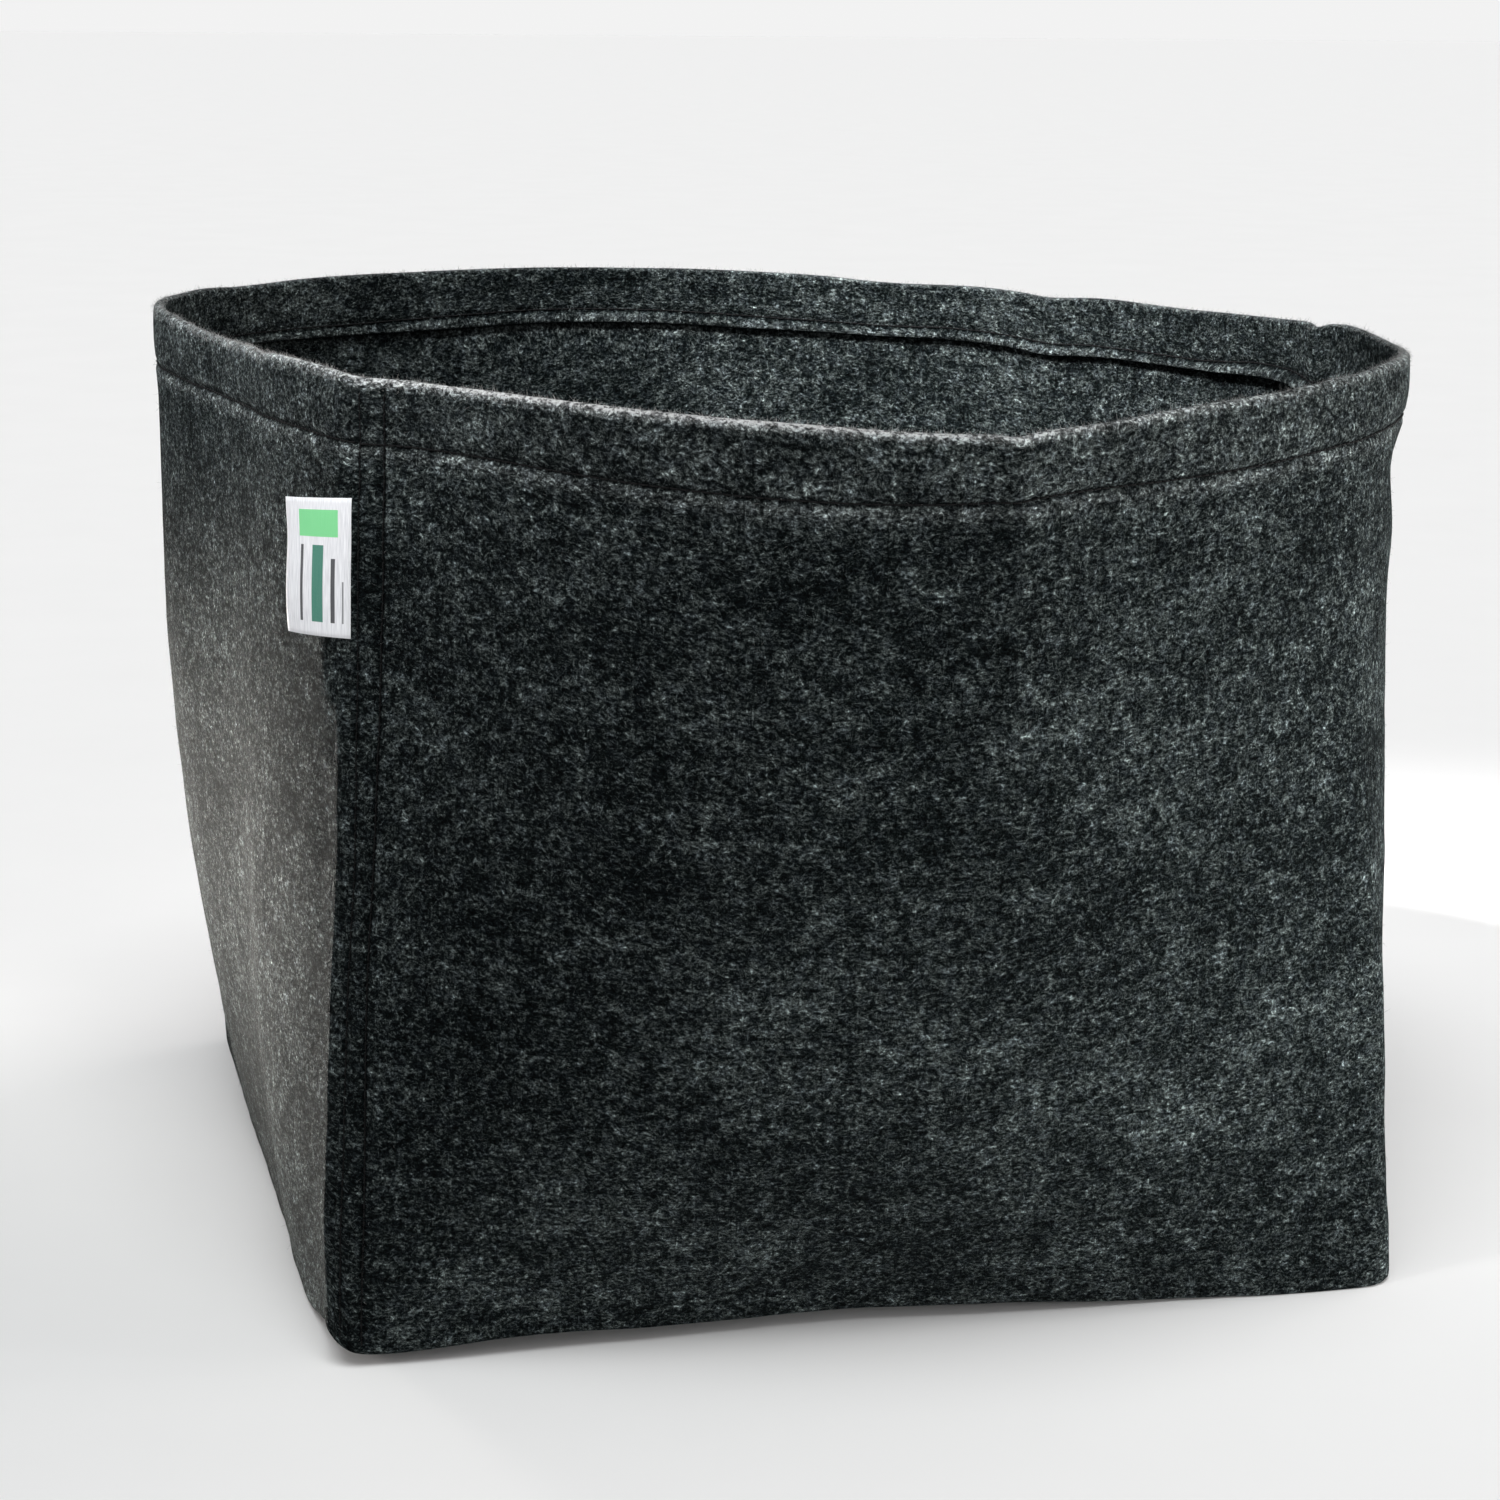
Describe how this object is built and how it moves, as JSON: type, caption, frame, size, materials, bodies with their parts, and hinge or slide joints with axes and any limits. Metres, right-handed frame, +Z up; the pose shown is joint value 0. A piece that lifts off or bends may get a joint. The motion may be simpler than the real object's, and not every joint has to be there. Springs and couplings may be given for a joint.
{
  "type": "fabric grow bag",
  "caption": "Open-topped felt grow bag with a sewn square base, a turned-in hem round the mouth, a lapped corner seam and a small sewn-in label, for growing plants in soil.",
  "frame": {"origin": "centre of the square base's underside, on the floor", "axes": "+Z up; the front face looks along -Y; the seamed corner is at -X, -Y"},
  "size_m": [0.5702, 0.6378, 0.4247],
  "materials": {
    "wall_panel": "matte needle-punched felt",
    "base_panel": "matte needle-punched felt",
    "size_label": "satin woven tape",
    "thread": "black polyester sewing thread"
  },
  "bodies": {
    "root": {"wall_panel": "wall_panel", "base_panel": "base_panel", "size_label": "size_label", "hem_needle_thread": "thread", "hem_bobbin_thread": "thread", "edge_row_needle_thread": "thread", "edge_row_bobbin_thread": "thread", "second_row_needle_thread": "thread", "second_row_bobbin_thread": "thread", "base_seam_thread": "thread"}
  },
  "joints": []
}
